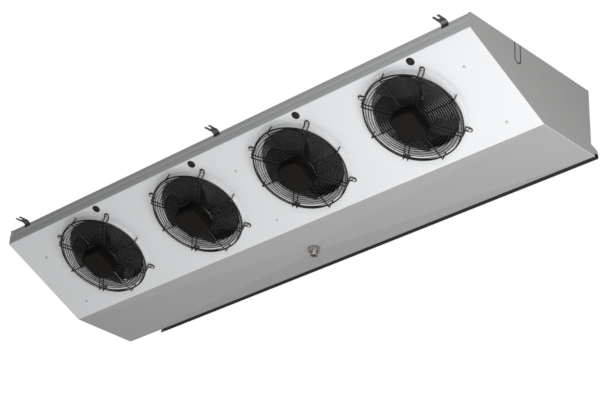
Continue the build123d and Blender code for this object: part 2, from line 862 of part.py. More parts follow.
guard = make_guard()
motor = make_motor()
impeller = make_impeller()
shaft = make_shaft()
grommet = make_grommet()
guard_screw = make_screw(washer=True)
grommets, guard_screws = [], []
for number, x in enumerate(fan_places, start=1):
    place = on_panel(x, fan_slant)
    save(f"guard_{number}", place * guard)
    save(f"motor_{number}", place * motor)
    save(f"impeller_{number}", place * impeller)
    save(f"motor_shaft_{number}", place * shaft)
    grommets.append(place * grommet)
    guard_screws += [place * spot * Pos(0, 0, guard_wire) * guard_screw for spot in eyelet_places()]
save("cable_grommets", *grommets)
save("guard_screws", *guard_screws)
panel_screw = make_screw(washer=False)
save("panel_screws", *[on_panel(x, slant) * panel_screw for x, slant in panel_screw_places()])

names = ("left", "middle", "right")
for number, (x, y, way) in enumerate(hanger_places()):
    row = "front" if way < 0 else "rear"
    save(f"hanger_{row}_{names[number % 3]}", make_hanger(x, y, way))
save("hanger_rivets", *make_rivets())
save("terminal_box", make_terminal_box())
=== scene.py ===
# %% [markdown]
# A unit cooler hangs under the ceiling of a cold room and blows air over a finned coil. This
# notebook dresses its packed construction: the folded sheets, the guards, the fans and the coil get
# their real surfaces and finishes. Everything is in metres, in the frame of the construction.

# %% Load the frame
import json
import math

import bmesh
import bpy
import numpy as np
from mathutils import Matrix, Vector


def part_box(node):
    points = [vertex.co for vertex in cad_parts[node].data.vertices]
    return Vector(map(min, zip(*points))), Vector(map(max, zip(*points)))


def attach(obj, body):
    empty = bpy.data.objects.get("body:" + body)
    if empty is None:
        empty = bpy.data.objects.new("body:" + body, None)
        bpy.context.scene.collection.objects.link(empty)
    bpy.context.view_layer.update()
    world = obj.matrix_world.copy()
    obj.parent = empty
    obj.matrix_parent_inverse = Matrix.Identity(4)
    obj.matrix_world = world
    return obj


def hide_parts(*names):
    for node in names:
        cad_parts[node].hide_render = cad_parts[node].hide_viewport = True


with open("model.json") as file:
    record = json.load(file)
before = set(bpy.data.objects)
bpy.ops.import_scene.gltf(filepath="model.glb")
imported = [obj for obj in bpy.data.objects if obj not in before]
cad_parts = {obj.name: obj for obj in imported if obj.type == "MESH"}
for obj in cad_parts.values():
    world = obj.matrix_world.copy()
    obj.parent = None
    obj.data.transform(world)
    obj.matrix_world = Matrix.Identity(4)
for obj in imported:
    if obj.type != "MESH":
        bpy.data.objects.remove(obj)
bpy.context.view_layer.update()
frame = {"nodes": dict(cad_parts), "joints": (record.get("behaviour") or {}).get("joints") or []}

# %% [markdown]
# The photograph was taken from below, from the front right, with a long lens. The camera's place,
# the point it looks at and its small roll come from fitting the casing's straight edges. A camera
# that looks at a point is turned by the direction's own tracking quaternion, and the roll is one
# more turn about the line of sight.

# %% Camera
camera_place = (3.78035, -3.74447, -3.02621)
camera_aim = (0.24234, -0.12, -0.26182)
camera_roll = math.radians(1.787)
photo_width = 613
focal_pixels = 1935.96
sensor_width = 0.036


def make_camera():
    """A camera at its place, turned so that -Z points at the aim, then rolled about that line."""
    data = bpy.data.cameras.new("camera")
    data.sensor_width = 1000 * sensor_width
    data.lens = 1000 * sensor_width * focal_pixels / photo_width
    data.clip_start, data.clip_end = 0.05, 60
    camera = bpy.data.objects.new("camera", data)
    bpy.context.scene.collection.objects.link(camera)
    sight = Vector(camera_aim) - Vector(camera_place)
    turn = sight.to_track_quat("-Z", "Y").to_matrix().to_4x4()
    camera.matrix_world = Matrix.Translation(camera_place) @ turn @ Matrix.Rotation(camera_roll, 4, "Z")
    bpy.context.scene.camera = camera
    return camera


camera = make_camera()
print("lens", round(camera.data.lens, 2), "mm")

# %% [markdown]
# The sheets and the fans are easiest to describe in two small frames of their own. The casing's
# frame has its zero in the middle of the front band's top edge. Each fan's frame has its zero on
# the sloping panel, with Z straight out of the panel, as the fan's joint says.

# %% The casing's and the fans' own frames
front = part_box("fan_panel")[0].y
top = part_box("top_cover")[1].z
half_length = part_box("end_panel_right")[1].x
fans = [(np.array(j["pos_m"]), np.array(j["axis"]), j["child"]) for j in frame["joints"]]
tilt = math.acos(-fans[0][1][2])
slope_y, slope_z = math.cos(tilt), math.sin(tilt)


def from_casing(points):
    """Moves points from the casing's frame to the part's: y and z are shifted to the band's top."""
    return np.asarray(points, float) + (0.0, front, top)


def from_fan(points, centre, out):
    """A fan's local point (x, y, z) lies at centre + x right + y up the slope + z outwards."""
    right = np.array([1.0, 0.0, 0.0])
    axes = np.stack([right, np.cross(out, right), out])
    return np.asarray(points, float) @ axes + centre


print("panel tilt", round(math.degrees(tilt), 2), "degrees,", len(fans), "fans")

# %% [markdown]
# Every new surface is a grid of points. Because the points are numbered row by row, the four corners
# of each quad follow from its row and column alone, so all quads of a surface come from one formula.
# A piece that has several such surfaces joins their arrays.

# %% Number the quads of a grid
def grid_faces(rows, columns, wrap_rows=False, wrap_columns=False):
    """Quads of a grid of points numbered row by row; a wrapped side joins its last line to its first."""
    r = np.arange(rows if wrap_rows else rows - 1)[:, None]
    c = np.arange(columns if wrap_columns else columns - 1)[None, :]
    next_r, next_c = (r + 1) % rows, (c + 1) % columns
    corners = [r * columns + c, r * columns + next_c, next_r * columns + next_c, next_r * columns + c]
    return np.stack(np.broadcast_arrays(*corners), -1).reshape(-1, 4)


def join(*parts):
    """Several (points, faces) pairs as one: face numbers are raised by the points before them."""
    starts = np.cumsum([0] + [len(points) for points, _ in parts[:-1]])
    points = np.concatenate([points for points, _ in parts])
    faces = np.concatenate([faces + start for (_, faces), start in zip(parts, starts)])
    return points, faces


print("a 3 x 4 grid has", len(grid_faces(3, 4)), "quads")
print("and as a ring", len(grid_faces(3, 4, wrap_columns=True)))

# %% [markdown]
# The arrays go into a mesh in one step each, which is far quicker than a point at a time. Then the
# seams are closed and the faces turned outwards, and the piece is given to the body that carries it.
# A sheet gets its wall from a modifier. Edges sharper than a set angle stay crisp, and all others
# are shaded round.

# %% From arrays to a piece
crisp_angle = math.radians(38)
weld_distance = 1e-6


def make_mesh(name, points, faces, outward=None):
    """Arrays into a mesh; doubles are merged, and the faces are turned outwards.

    A closed shape's faces are turned by its own inside. An open sheet is turned so that the sum of
    its face normals agrees with the direction given as outward."""
    mesh = bpy.data.meshes.new(name)
    mesh.vertices.add(len(points))
    mesh.vertices.foreach_set("co", np.ascontiguousarray(points, np.float32).ravel())
    mesh.loops.add(faces.size)
    mesh.loops.foreach_set("vertex_index", np.ascontiguousarray(faces, np.int32).ravel())
    mesh.polygons.add(len(faces))
    mesh.polygons.foreach_set("loop_start", np.arange(0, faces.size, faces.shape[1], dtype=np.int32))
    mesh.update(calc_edges=True)
    mesh.validate()
    work = bmesh.new()
    work.from_mesh(mesh)
    bmesh.ops.remove_doubles(work, verts=work.verts, dist=weld_distance)
    bmesh.ops.dissolve_degenerate(work, dist=weld_distance, edges=work.edges)
    bmesh.ops.recalc_face_normals(work, faces=work.faces)
    if outward is not None:
        lean = sum(face.calc_area() * face.normal.dot(outward) for face in work.faces)
        if lean < 0:
            bmesh.ops.reverse_faces(work, faces=work.faces)
    work.to_mesh(mesh)
    work.free()
    return mesh


def add_piece(name, points, faces, material, slot, body="casing", nodes=(), wall=0.0, bevel=0.0,
              outward=None):
    """Makes the piece, gives a sheet its wall inwards, rounds its edges and fits it to the body."""
    mesh = make_mesh(name, points, faces, outward)
    piece = bpy.data.objects.new(name, mesh)
    bpy.context.scene.collection.objects.link(piece)
    if wall:
        solid = piece.modifiers.new("wall", "SOLIDIFY")
        solid.thickness, solid.offset = wall, -1.0
        solid.use_even_offset = True
    if bevel:
        rounding = piece.modifiers.new("edges", "BEVEL")
        rounding.width, rounding.segments, rounding.limit_method = bevel, 2, "ANGLE"
        rounding.angle_limit = math.radians(40)
    if piece.modifiers:
        seen = piece.evaluated_get(bpy.context.evaluated_depsgraph_get())
        piece.data = bpy.data.meshes.new_from_object(seen)
        piece.data.name = name
        piece.modifiers.clear()
    piece.data.polygons.foreach_set("use_smooth", np.ones(len(piece.data.polygons), bool))
    piece.data.set_sharp_from_angle(angle=crisp_angle)
    piece.data.materials.clear()
    piece.data.materials.append(material)
    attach(piece, body)
    if nodes:
        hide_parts(*nodes)
    return piece


print("edges over", round(math.degrees(crisp_angle)), "degrees stay crisp")

# %% [markdown]
# A wire or a pipe is a circle carried along a path. All paths here are flat, so the circle can lie
# between one direction square to the path's plane and a second one square to that and to the path,
# and it never twists. Open ends are closed by a fan of faces.

# %% Wires and pipes
def tube(path, radius, side, sides=8, closed=False):
    """A circle carried along a flat path.

    The tangent t is the direction between a point's neighbours. With s square to the path's plane,
    the section's points are path + radius (cos a s + sin a (t x s))."""
    path = np.asarray(path, float)
    if closed:
        tangent = np.roll(path, -1, 0) - np.roll(path, 1, 0)
    else:
        tangent = np.gradient(path, axis=0)
    tangent /= np.linalg.norm(tangent, axis=1, keepdims=True)
    side = np.asarray(side, float) / np.linalg.norm(side)
    across = np.cross(tangent, side)
    a = np.arange(sides) * 2 * np.pi / sides
    ring = np.cos(a)[None, :, None] * side + np.sin(a)[None, :, None] * across[:, None, :]
    points = (path[:, None, :] + radius * ring).reshape(-1, 3)
    faces = grid_faces(len(path), sides, wrap_rows=closed, wrap_columns=True)
    if closed:
        return points, faces
    ends = np.stack([path[0], path[-1]])
    first = np.arange(sides)
    caps = []
    for middle, start in ((len(points), 0), (len(points) + 1, len(points) - sides)):
        here, there = start + first, start + (first + 1) % sides
        centre = np.full(sides, middle)
        caps.append(np.stack([here, there, centre, centre], -1))
    return np.concatenate([points, ends]), np.concatenate([faces] + caps)


print("a wire of 5 points has", len(tube([(k, 0, 0) for k in range(5)], 0.1, (0, 0, 1))[1]), "faces")

# %% [markdown]
# Two more shapes come up again and again: a turned part, which is a profile spun about an axis, and
# a path with its corners rounded, because bent wire and folded sheet have no sharp corners.

# %% Turned parts and rounded paths
def turned(profile, segments=64):
    """A profile of (r, z) spun about Z: each point becomes (r cos a, r sin a, z)."""
    profile = np.asarray(profile, float)
    a = np.arange(segments) * 2 * np.pi / segments
    r, z = profile[:, 0, None], profile[:, 1, None]
    points = np.stack(np.broadcast_arrays(r * np.cos(a), r * np.sin(a), z), -1).reshape(-1, 3)
    return points, grid_faces(len(profile), segments, wrap_columns=True)


def rounded(corners, radius, steps=6):
    """An open path whose inner corners are arcs.

    At a corner that turns by b, the arc starts radius tan(b / 2) before the corner, but never past
    0.45 of the shorter run, and its points follow the quadratic curve between its two ends."""
    corners = np.asarray(corners, float)
    runs = np.diff(corners, axis=0)
    lengths = np.linalg.norm(runs, axis=1, keepdims=True)
    ways = runs / lengths
    t = np.linspace(0, 1, steps + 1)[:, None]
    path = [corners[:1]]
    for corner, before, after, short in zip(
            corners[1:-1], ways[:-1], ways[1:], np.minimum(lengths[:-1], lengths[1:])[:, 0]):
        turn = math.acos(float(np.clip(before @ after, -1, 1)))
        reach = min(radius * math.tan(turn / 2), 0.45 * short)
        start, end = corner - before * reach, corner + after * reach
        path.append((1 - t) ** 2 * start + 2 * t * (1 - t) * corner + t ** 2 * end)
    path.append(corners[-1:])
    return np.concatenate(path)


def ring_path(radius, height, count=96):
    """A level circle of points at (radius cos a, radius sin a, height)."""
    a = np.arange(count) * 2 * np.pi / count
    return np.stack([radius * np.cos(a), radius * np.sin(a), np.full(count, height)], -1)


def turn_about_z(points, angle):
    """x' = x cos a - y sin a and y' = x sin a + y cos a."""
    c, s = math.cos(angle), math.sin(angle)
    return np.asarray(points, float) @ np.array([[c, s, 0], [-s, c, 0], [0, 0, 1]])


print("a square corner becomes", len(rounded([(0, 0), (1, 0), (1, 1)], 0.2)), "points")

# %% [markdown]
# A finish is a small net of nodes. Each input of a node takes either a plain value or another node's
# output, and one helper does both. With it, math, noise and colour mixes are written in one line.

# %% Node helpers
def new_group(name, inputs, outputs):
    """An empty shader group; inputs and outputs are name to (socket type, value) pairs."""
    group = bpy.data.node_groups.new(name, "ShaderNodeTree")
    for label, (kind, value) in inputs.items():
        socket = group.interface.new_socket(label, in_out="INPUT", socket_type=kind)
        if value is not None:
            socket.default_value = value
    for label, kind in outputs.items():
        group.interface.new_socket(label, in_out="OUTPUT", socket_type=kind)
    return group, group.nodes.new("NodeGroupInput"), group.nodes.new("NodeGroupOutput")


def feed(tree, value, socket):
    """The socket is linked to another node's output, or it takes a plain value."""
    if isinstance(value, bpy.types.NodeSocket):
        tree.links.new(value, socket)
    else:
        socket.default_value = value


def feed_all(tree, node, values):
    """Every named input of the node is fed."""
    for label, value in values.items():
        feed(tree, value, node.inputs[label])
    return node


def add_math(tree, operation, *values):
    """One operation on numbers or outputs."""
    node = tree.nodes.new("ShaderNodeMath")
    node.operation = operation
    for socket, value in zip(node.inputs, values):
        feed(tree, value, socket)
    return node.outputs[0]


def add_noise(tree, place, scale, detail):
    """Noise from 0 to 1 at a place."""
    node = tree.nodes.new("ShaderNodeTexNoise")
    return feed_all(tree, node, {"Vector": place, "Scale": scale, "Detail": detail}).outputs["Fac"]


def add_mix(tree, factor, first, second):
    """The first colour where the factor is 0, the second where it is 1."""
    node = tree.nodes.new("ShaderNodeMix")
    node.data_type = "RGBA"
    return feed_all(tree, node, {"Factor": factor, "A": first, "B": second}).outputs["Result"]


print("helpers:", ", ".join(helper.__name__ for helper in (feed, add_math, add_noise, add_mix)))

# %% [markdown]
# A plain colour never looks like a real finish. Two effects are shared by all the finishes here, so
# each is a node group that is built once. The first is a fine relief with a change of roughness, as
# in powder coat or cast metal. The relief is a bump, since it is far too fine to be geometry.

# %% Surface relief
def make_relief_group():
    """Noise height becomes a bumped normal, and slower noise moves roughness and tone a little."""
    group, inside, out = new_group("surface_relief", {
        "Scale": ("NodeSocketFloat", 900.0),
        "Height": ("NodeSocketFloat", 0.0002),
        "Stretch": ("NodeSocketVector", (1.0, 1.0, 1.0)),
        "Roughness": ("NodeSocketFloat", 0.4),
        "Spread": ("NodeSocketFloat", 0.06),
    }, {"Normal": "NodeSocketVector", "Roughness": "NodeSocketFloat", "Patches": "NodeSocketFloat"})
    given = inside.outputs
    place = group.nodes.new("ShaderNodeTexCoord").outputs["Object"]
    stretch = group.nodes.new("ShaderNodeVectorMath")
    stretch.operation = "MULTIPLY"
    feed(group, place, stretch.inputs[0])
    feed(group, given["Stretch"], stretch.inputs[1])
    fine = add_noise(group, stretch.outputs[0], given["Scale"], 3.0)
    slow = add_noise(group, place, 7.0, 5.0)
    bump = group.nodes.new("ShaderNodeBump")
    feed_all(group, bump, {"Distance": 1.0, "Height": add_math(group, "MULTIPLY", fine, given["Height"])})
    middle = add_math(group, "SUBTRACT", slow, 0.5)
    swing = add_math(group, "MULTIPLY_ADD", middle, given["Spread"], given["Roughness"])
    feed_all(group, out, {"Normal": bump.outputs["Normal"], "Roughness": swing, "Patches": slow})
    return group


relief = make_relief_group()
print(relief.name, len(relief.nodes), "nodes")

# %% [markdown]
# The second shared effect is a thin film of dust. It gathers on faces that look up, in uneven
# clouds, so it is a product of the two. From below, as in the photograph, it hardly shows.

# %% Settled dust
def make_dust_group():
    """Mixes the colour towards dust where the face looks up and a cloudy noise is high."""
    group, inside, out = new_group("settled_dust", {
        "Color": ("NodeSocketColor", (0.5, 0.5, 0.5, 1.0)),
        "Dust": ("NodeSocketColor", (0.42, 0.40, 0.37, 1.0)),
        "Amount": ("NodeSocketFloat", 0.5),
    }, {"Color": "NodeSocketColor"})
    given = inside.outputs
    split = group.nodes.new("ShaderNodeSeparateXYZ")
    feed(group, group.nodes.new("ShaderNodeNewGeometry").outputs["Normal"], split.inputs[0])
    upward = group.nodes.new("ShaderNodeMapRange")
    feed_all(group, upward, {"From Min": 0.3, "From Max": 0.95, "Value": split.outputs["Z"]})
    cloud = add_noise(group, group.nodes.new("ShaderNodeTexCoord").outputs["Object"], 9.0, 6.0)
    both = add_math(group, "MULTIPLY", upward.outputs[0], cloud)
    share = add_math(group, "MULTIPLY", both, given["Amount"])
    feed(group, add_mix(group, share, given["Color"], given["Dust"]), out.inputs["Color"])
    return group


dust = make_dust_group()
print(dust.name, len(dust.nodes), "nodes")

# %% [markdown]
# One maker then builds every finish: two close tones of its colour in slow patches, the relief at
# the scale of the real grain, a roughness that changes a little, and dust on top. What is the same
# all over, such as metal, stands on the shader itself.

# %% Finishes
def make_finish(name, colour, tone=0.94, metallic=0.0, roughness=0.4, spread=0.08, scale=900.0,
                height=0.0002, stretch=(1.0, 1.0, 1.0), dusty=0.25, specular=0.5):
    """Base colour = dust over mix(colour, tone x colour, patches); normal and roughness from the relief."""
    material = bpy.data.materials.new(name)
    material.use_nodes = True
    tree = material.node_tree
    grain = tree.nodes.new("ShaderNodeGroup")
    grain.node_tree = relief
    feed_all(tree, grain, {"Scale": scale, "Height": height, "Stretch": stretch, "Roughness": roughness,
                           "Spread": spread})
    patches = add_mix(tree, grain.outputs["Patches"], (*[tone * c for c in colour], 1.0), (*colour, 1.0))
    settled = tree.nodes.new("ShaderNodeGroup")
    settled.node_tree = dust
    feed_all(tree, settled, {"Color": patches, "Amount": dusty})
    feed_all(tree, tree.nodes["Principled BSDF"], {
        "Base Color": settled.outputs["Color"],
        "Roughness": grain.outputs["Roughness"],
        "Normal": grain.outputs["Normal"],
        "Metallic": metallic,
        "Specular IOR Level": specular,
    })
    return material


white_powder = make_finish("white powder coat", (0.80, 0.81, 0.82), tone=0.97, roughness=0.42, scale=420.0,
                           height=0.00012)
pan_paint = make_finish("grey pan sheet", (0.50, 0.495, 0.50), tone=0.97, metallic=0.25, roughness=0.38,
                        scale=300.0, height=0.0001)
galvanised = make_finish("galvanised sheet", (0.46, 0.47, 0.48), tone=0.8, metallic=0.8, roughness=0.42,
                         scale=160.0, height=0.00006, spread=0.2)
zinc_plate = make_finish("dull zinc plate", (0.20, 0.20, 0.205), tone=0.8, metallic=0.85, roughness=0.36,
                         scale=500.0, height=0.00008, spread=0.15)
bright_zinc = make_finish("bright zinc plate", (0.60, 0.60, 0.59), tone=0.85, metallic=0.7, roughness=0.45,
                          scale=700.0, height=0.00005)
black_wire = make_finish("black coated wire", (0.012, 0.0115, 0.011), tone=0.8, roughness=0.24, scale=900.0,
                         height=0.00008, dusty=0.1)
motor_black = make_finish("satin black housing", (0.010, 0.009, 0.008), tone=0.85, roughness=0.7, scale=650.0,
                          height=0.0002, dusty=0.03, specular=0.1)
blade_black = make_finish("black blades", (0.022, 0.021, 0.020), tone=0.85, roughness=0.48, scale=500.0,
                          height=0.0001, dusty=0.1, specular=0.35)
black_rubber = make_finish("black rubber", (0.016, 0.0155, 0.015), tone=0.8, roughness=0.62, scale=380.0,
                           height=0.0002, dusty=0.05, specular=0.3)
rolled_aluminium = make_finish("rolled fin aluminium", (0.72, 0.73, 0.74), tone=0.9, metallic=1.0,
                               roughness=0.34, scale=260.0, height=0.00004, stretch=(1.0, 1.0, 0.05),
                               spread=0.12)
drawn_copper = make_finish("drawn copper", (0.72, 0.38, 0.24), tone=0.7, metallic=1.0, roughness=0.30,
                           scale=120.0, height=0.00005, spread=0.2, dusty=0.1)
plated_brass = make_finish("plated outlet", (0.52, 0.50, 0.47), tone=0.85, metallic=0.8, roughness=0.36,
                           scale=600.0, height=0.00004)
grey_moulding = make_finish("grey moulding", (0.32, 0.32, 0.315), roughness=0.5, scale=700.0, height=0.0001)
print("finishes", relief.users)

# %% [markdown]
# The knock-out's cut in the right end panel is a thin U. The shade that falls into the slit is painted
# on the sheet as a dark grey band along it. A mask of the distance from the U's centre line places
# the band: round the arc's centre below, and beside the two straight legs above it.

# %% Painted shade along the knock-out's cut
knockout_centre = (-0.0645, -0.058)
knockout_radius = 0.0125
knockout_top = -0.007
painted_shade_reach = 0.0022
painted_shade_colour = (0.08, 0.08, 0.08, 1.0)


def paint_knockout_shade(material):
    """Painted shade: the colour turns to a dark grey where |reach - radius| is below the shade's reach and z
    < knockout_top.

    Reach is the length of (y, min(z, 0)) measured from the arc's centre."""
    tree = material.node_tree
    colour = tree.nodes["Principled BSDF"].inputs["Base Color"]
    place = tree.nodes.new("ShaderNodeSeparateXYZ")
    feed(tree, tree.nodes.new("ShaderNodeTexCoord").outputs["Object"], place.inputs[0])
    across = add_math(tree, "SUBTRACT", place.outputs["Y"], knockout_centre[0])
    down = add_math(tree, "MINIMUM", add_math(tree, "SUBTRACT", place.outputs["Z"], knockout_centre[1]), 0.0)
    squares = add_math(tree, "MULTIPLY_ADD", down, down, add_math(tree, "MULTIPLY", across, across))
    reach = add_math(tree, "SQRT", squares)
    off = add_math(tree, "ABSOLUTE", add_math(tree, "SUBTRACT", reach, knockout_radius))
    near = add_math(tree, "LESS_THAN", off, painted_shade_reach)
    under = add_math(tree, "LESS_THAN", place.outputs["Z"], knockout_top)
    shaded = add_math(tree, "MULTIPLY", near, under)
    # The dark grey mixed in here is painted shade, standing for the shade inside the slit.
    feed(tree, add_mix(tree, shaded, colour.links[0].from_socket, painted_shade_colour), colour)
    return material


# The right end panel's powder coat, with the painted shade along its knock-out's cut.
powder_with_painted_cut_shade = paint_knockout_shade(make_finish("white powder coat with a cut", (0.81, 0.80, 0.79), tone=0.97,
                                        roughness=0.42, scale=420.0, height=0.00012))
print("the cut's shade is", round(2000 * painted_shade_reach, 1), "mm wide")

# %% [markdown]
# The construction's own sheets are flat and right as they are, so they stay, and only take their
# finish: end panels, drain pan, sill, baffles and the pieces inside.

# %% Finishes on the construction's own pieces
kept_finishes = {
    white_powder: ["end_panel_left", "rear_cover"],
    powder_with_painted_cut_shade: ["end_panel_right"],
    pan_paint: ["drain_pan"],
    galvanised: ["rear_sill", "baffle_left", "baffle_centre", "baffle_right", "coil_plate_left",
                 "coil_plate_right"],
    # The drip edge is black rubber. Its black also stands in for the shade inside the rear sill's lip, so it
    # is partly painted shade.
    black_rubber: ["drip_edge", "drain_gasket"],
    bright_zinc: ["hanger_rivets"] + [f"motor_shaft_{k}" for k in range(1, 5)],
    grey_moulding: ["terminal_box"],
}


def finish_kept_nodes():
    """Each kept node's only material becomes the finish named for it."""
    count = 0
    for material, names in kept_finishes.items():
        for name in names:
            node = frame["nodes"][name]
            node.data.materials.clear()
            node.data.materials.append(material)
            count += 1
    return count


print(finish_kept_nodes(), "kept pieces have their finish")

# %% [markdown]
# The fan panel is one pressed sheet: a flat slope with four bell-mouths, folded up into the lower
# part of the front band. Its places are easiest to give by the slant, the way down the slope from
# the fold. A bell-mouth is a profile spun about the fan's axis.

# %% The panel's sizes and its bell-mouth
sheet = 0.0012
fan_pitch = fans[1][0][0] - fans[0][0][0]
panel_end = half_length - 0.0015
panel_slant = 0.364
fan_slant = 0.171
band_height = 0.0515
band_top = 0.0292
fold_radius = 0.0022
throat_radius = 0.132
mouth_segments = 96
bay_rows = 7


def panel_point(x, slant, out=0.0):
    """A point on the slope: x along, slant down from the fold, out of the panel."""
    x, slant, out = np.broadcast_arrays(x, slant, out)
    return np.stack([x, slant * slope_y - out * slope_z, -band_height - slant * slope_z - out * slope_y], -1)


def mouth_profile():
    """The pressed bead and the throat as (r, z): a swell out of the panel, then a curve inwards."""
    bead = [(0.153, 0), (0.151, 0), (0.1495, 0.0085), (0.1462, 0.0125), (0.1415, 0.0085),
            (0.1365, 0.0025), (throat_radius, -0.0008), (throat_radius, -0.008)]
    return rounded(bead, 0.006, steps=3)


print("fans every", round(1000 * fan_pitch, 1), "mm, throats", round(2000 * throat_radius), "mm wide")

# %% [markdown]
# Between the circle of a mouth and the rectangle of its bay, rows of points are blended in a
# straight line, which keeps the flat part truly flat. The circle has as many points as the mouth's
# profile has round the axis, so the two meet point on point.

# %% Fan panel
def make_fan_panel():
    """Bays, end strips, bell-mouths and the folded band, all welded into one sheet."""
    fold_reach = fold_radius * math.tan((math.pi / 2 - tilt) / 2)
    side = mouth_segments // 4
    share = np.linspace(0, 1, side + 1)[:-1]
    left, right = -fan_pitch / 2, fan_pitch / 2
    up, down = fan_slant - fold_reach, fan_slant - panel_slant
    square = np.concatenate([
        np.stack([right + (left - right) * share, np.full(side, up)], -1),
        np.stack([np.full(side, left), up + (down - up) * share], -1),
        np.stack([left + (right - left) * share, np.full(side, down)], -1),
        np.stack([np.full(side, right), down + (up - down) * share], -1),
    ])
    a = np.pi / 4 + np.arange(mouth_segments) * 2 * np.pi / mouth_segments
    start = mouth_profile()[0, 0]
    circle = start * np.stack([np.cos(a), np.sin(a)], -1)
    t = np.linspace(0, 1, bay_rows)[:, None, None]
    flat = ((1 - t) * circle + t * square).reshape(-1, 2)
    parts = []
    for centre, _, _ in fans:
        bay = panel_point(centre[0] + flat[:, 0], fan_slant - flat[:, 1])
        parts.append((bay, grid_faces(bay_rows, mouth_segments, wrap_columns=True)))
        spun, faces = turned(mouth_profile(), mouth_segments)
        spun = turn_about_z(spun, np.pi / 4)
        parts.append((panel_point(centre[0] + spun[:, 0], fan_slant - spun[:, 1], spun[:, 2]), faces))
    slants = np.linspace(fold_reach, panel_slant, side + 1)
    for inner in (-2 * fan_pitch, 2 * fan_pitch):
        edge = math.copysign(panel_end, inner)
        x = np.linspace(inner, edge, 4)
        strip = panel_point(x[None, :], slants[:, None]).reshape(-1, 3)
        parts.append((strip, grid_faces(side + 1, 4)))
    bay_lines = [centre[0] - fan_pitch / 2 + fan_pitch * np.linspace(0, 1, side + 1) for centre, _, _ in fans]
    ends = np.linspace(2 * fan_pitch, panel_end, 4)
    x = np.unique(np.round(np.concatenate([-ends, *bay_lines, ends]), 7))
    profile = rounded([(panel_slant * slope_y, -band_height - panel_slant * slope_z), (0, -band_height),
                       (0, -band_top), (0.012, -band_top)], fold_radius, steps=5)[1:]
    band = np.stack(np.broadcast_arrays(x[None, :], profile[:, 0, None], profile[:, 1, None]), -1)
    parts.append((band.reshape(-1, 3), grid_faces(len(profile), len(x))))
    return join(*parts)


points, faces = make_fan_panel()
fan_panel = add_piece("fan_panel_sheet", from_casing(points), faces, white_powder, "casing",
                      nodes=["fan_panel"], wall=sheet, outward=(0.0, -slope_z, -slope_y))
print("fan panel", len(fan_panel.data.polygons), "faces")

# %% [markdown]
# The top cover is a roof sheet that folds down at the front and the back. The lower part of its
# front turns back under a slant that catches the light from below, as the bright stripe in the
# photograph shows. The sheet is its folded section carried along the length. The roof stops short
# of the end panels, so the columns next to the ends lose their roof faces.

# %% Top cover
casing_depth = 0.549
band_set_back, bevel_back = 0.004, 0.009
bevel_top, bevel_bottom, top_flange = 0.0155, 0.0270, 0.025
roof_gap = 0.024


def make_top_cover():
    """The folded section times the length, without the roof's faces in the two end columns."""
    section = rounded([(bevel_back, -bevel_bottom), (band_set_back, -bevel_top), (band_set_back, 0.0),
                       (casing_depth, 0.0), (casing_depth, -top_flange)], 0.0012, steps=4)
    roof_end = half_length - roof_gap
    x = np.concatenate([[-panel_end], np.linspace(-roof_end, roof_end, 25), [panel_end]])
    inset = np.insert(section, np.searchsorted(section[:, 0], top_flange), (top_flange, 0.0), axis=0)
    back = casing_depth - top_flange
    place = np.nonzero((inset[:, 0] > back) & (inset[:, 1] > -1e-9))[0][0]
    section = np.insert(inset, place, (back, 0.0), axis=0)
    points = np.stack(np.broadcast_arrays(x[None, :], section[:, 0, None], section[:, 1, None]), -1)
    faces = grid_faces(len(section), len(x))
    rows, columns = faces[:, 0] // len(x), faces[:, 0] % len(x)
    middle = (section[rows, 0] + section[rows + 1, 0]) / 2
    roof = (middle > top_flange) & (middle < back)
    ends = (columns == 0) | (columns == len(x) - 2)
    return points.reshape(-1, 3), faces[~(roof & ends)]


points, faces = make_top_cover()
top_cover = add_piece("top_cover_sheet", from_casing(points), faces, white_powder, "casing",
                      nodes=["top_cover"], wall=sheet, outward=(0.0, 0.0, 1.0))
print("top cover", len(top_cover.data.polygons), "faces")

# %% [markdown]
# A guard is welded from wire: close rings, four single wires, and four pairs of wires on the
# diagonals that run down to the panel and return as a loop under a screw. All rings are circles and
# all legs are flat paths with rounded corners, so one tube function makes the whole basket. The
# radial wires lie outside the rings, as in the photograph.

# %% Guards
wire_radius = 0.0013
leg_radius = 0.0019
rim_radius = 0.0026
ring_pitch = 0.008
front_rings = np.arange(0.1475, 0.050, -ring_pitch)
ring_height = 0.0311
leg_height = 0.0336
rim = (0.1508, 0.0220)
single_corner = 0.1540
double_corner = 0.1533
pair_half = 0.0065
loop_reach = 0.166
loop_height = 0.0020
wire_start, wire_bend = 0.050, 0.003
plate_bore, plate_radius = 0.028, 0.056
plate_low, plate_high = 0.0335, 0.0365


def single_leg(turn):
    """A wire out from the plate, round a corner and down to the panel, in the plane of its radius."""
    path = rounded([(wire_start, 0, leg_height), (single_corner, 0, leg_height), (single_corner, 0, 0.0002)],
                   wire_bend, steps=4)
    return tube(turn_about_z(path, turn), leg_radius, turn_about_z([[0, 1, 0]], turn)[0], sides=8)


def double_leg(turn):
    """Two such wires side by side, joined on the panel by a half circle round the screw."""
    parts = []
    for y in (-pair_half, pair_half):
        path = rounded([(wire_start, y, leg_height), (double_corner, y, leg_height),
                        (double_corner, y, loop_height), (loop_reach, y, loop_height)], wire_bend, steps=4)
        parts.append(tube(turn_about_z(path, turn), leg_radius, turn_about_z([[0, 1, 0]], turn)[0], sides=8))
    a = np.linspace(-np.pi / 2, np.pi / 2, 13)
    bow = np.stack([loop_reach + pair_half * np.cos(a), pair_half * np.sin(a), np.full(13, loop_height)], -1)
    parts.append(tube(turn_about_z(bow, turn), leg_radius, (0, 0, 1), sides=8))
    return join(*parts)


